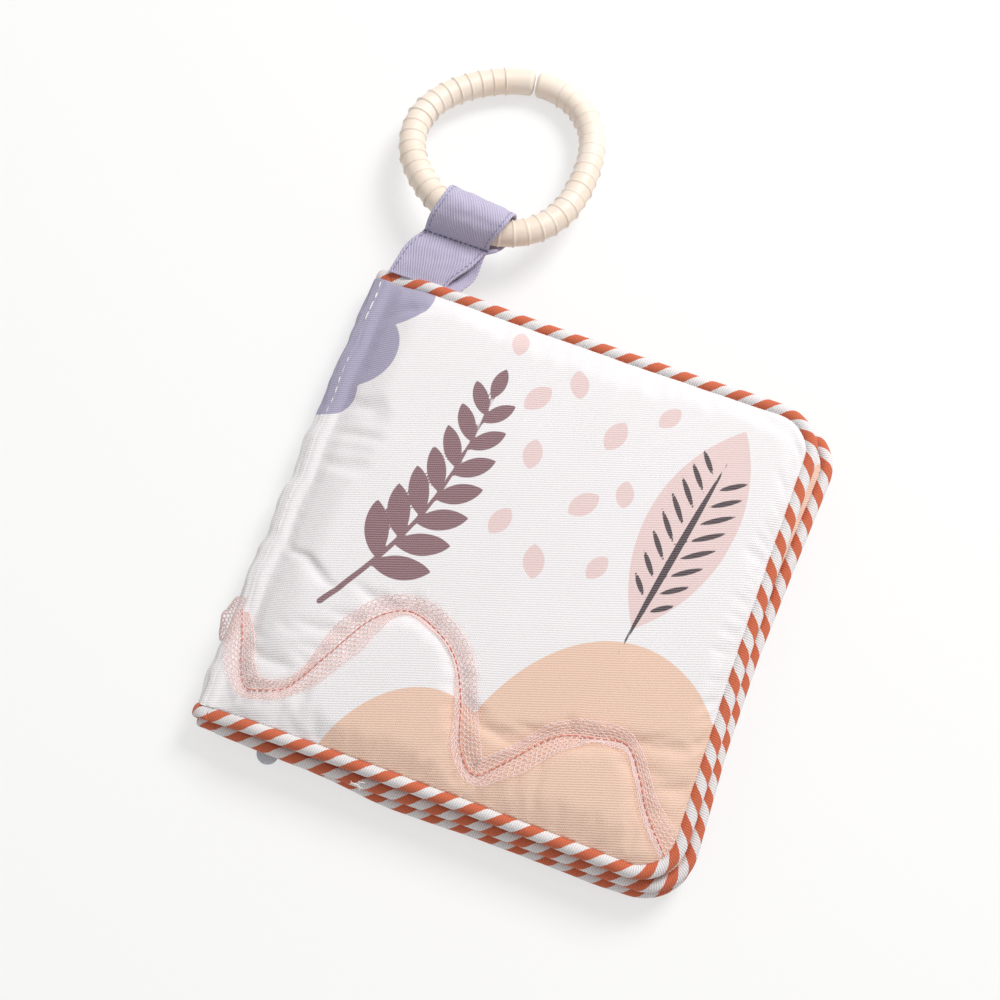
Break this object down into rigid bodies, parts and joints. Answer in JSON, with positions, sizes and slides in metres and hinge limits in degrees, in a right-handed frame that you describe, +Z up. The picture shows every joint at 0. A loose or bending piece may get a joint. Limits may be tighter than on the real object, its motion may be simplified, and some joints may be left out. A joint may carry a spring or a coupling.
{
  "type": "baby activity book",
  "caption": "Soft padded cloth book with piped leaves sewn at a folded spine, a netting ribbon on the front, and a twill strap holding a ribbed split ring.",
  "frame": {"origin": "centre of the bounding box, on the surface the book lies on", "axes": "+Y from the foot of the book to the strap and ring, +X from the folded spine to the fore edge, +Z up through the front cover"},
  "size_m": [0.1682, 0.2434, 0.0244],
  "materials": {
    "cover_print": "printed cotton twill, matte",
    "page_print": "printed cotton twill, matte",
    "wadding": "soft polyester wadding",
    "film": "thin crinkle film",
    "piping": "bias tape in rust and white diagonal stripes",
    "cord": "cotton filler cord",
    "netting": "soft pale pink netting",
    "strap": "lavender grey twill tape",
    "ring": "ivory moulded plastic, satin",
    "tab": "grey blue cotton"
  },
  "bodies": {
    "back_cover": {"back_cover_outer_fabric": "cover_print", "back_cover_inner_fabric": "page_print", "back_cover_wadding": "wadding", "back_cover_crinkle_film": "film", "back_cover_piping": "piping", "back_cover_piping_cord": "cord", "cover_fold_outer_fabric": "cover_print", "cover_fold_wadding": "wadding", "cover_fold_inner_fabric": "page_print", "page_fold_fabric": "page_print", "page_fold_wadding": "wadding", "cover_fold_piping_top": "piping", "cover_fold_piping_cord_top": "cord", "cover_fold_piping_bottom": "piping", "cover_fold_piping_cord_bottom": "cord", "page_fold_piping_top": "piping", "page_fold_piping_cord_top": "cord", "page_fold_piping_bottom": "piping", "page_fold_piping_cord_bottom": "cord", "foot_tab": "tab"},
    "lower_page": {"lower_page_top_fabric": "page_print", "lower_page_bottom_fabric": "page_print", "lower_page_wadding": "wadding", "lower_page_piping": "piping", "lower_page_piping_cord": "cord"},
    "upper_page": {"upper_page_top_fabric": "page_print", "upper_page_bottom_fabric": "page_print", "upper_page_wadding": "wadding", "upper_page_piping": "piping", "upper_page_piping_cord": "cord"},
    "front_cover": {"front_cover_outer_fabric": "cover_print", "front_cover_inner_fabric": "page_print", "front_cover_wadding": "wadding", "front_cover_crinkle_film": "film", "front_cover_piping": "piping", "front_cover_piping_cord": "cord", "mesh_ribbon_front": "netting", "mesh_ribbon_fold_loop": "netting"},
    "hanging_strap": {"hanging_strap": "strap"},
    "teething_ring": {"teething_ring": "ring"}
  },
  "joints": [
    {"name": "lower_page_turn", "type": "hinge", "parent": "back_cover", "child": "lower_page", "pos_m": [-0.06945, -0.04138, 0.00925], "axis": [0, -1, 0], "range_deg": [0, 180]},
    {"name": "upper_page_turn", "type": "hinge", "parent": "lower_page", "child": "upper_page", "pos_m": [-0.06945, -0.04138, 0.00925], "axis": [0, -1, 0], "range_deg": [0, 180]},
    {"name": "front_cover_turn", "type": "hinge", "parent": "upper_page", "child": "front_cover", "pos_m": [-0.06945, -0.04138, 0.00925], "axis": [0, -1, 0], "range_deg": [0, 180], "deforming": ["mesh_ribbon_fold_loop"]},
    {"name": "strap_fold", "type": "hinge", "parent": "front_cover", "child": "hanging_strap", "pos_m": [-0.05895, 0.0381, 0.01504], "axis": [1, 0, 0], "range_deg": [-70, 90]},
    {"name": "ring_swing", "type": "hinge", "parent": "hanging_strap", "child": "teething_ring", "pos_m": [-0.05045, 0.0616, 0.01693], "axis": [1, 0, 0], "range_deg": [-90, 90]}
  ]
}
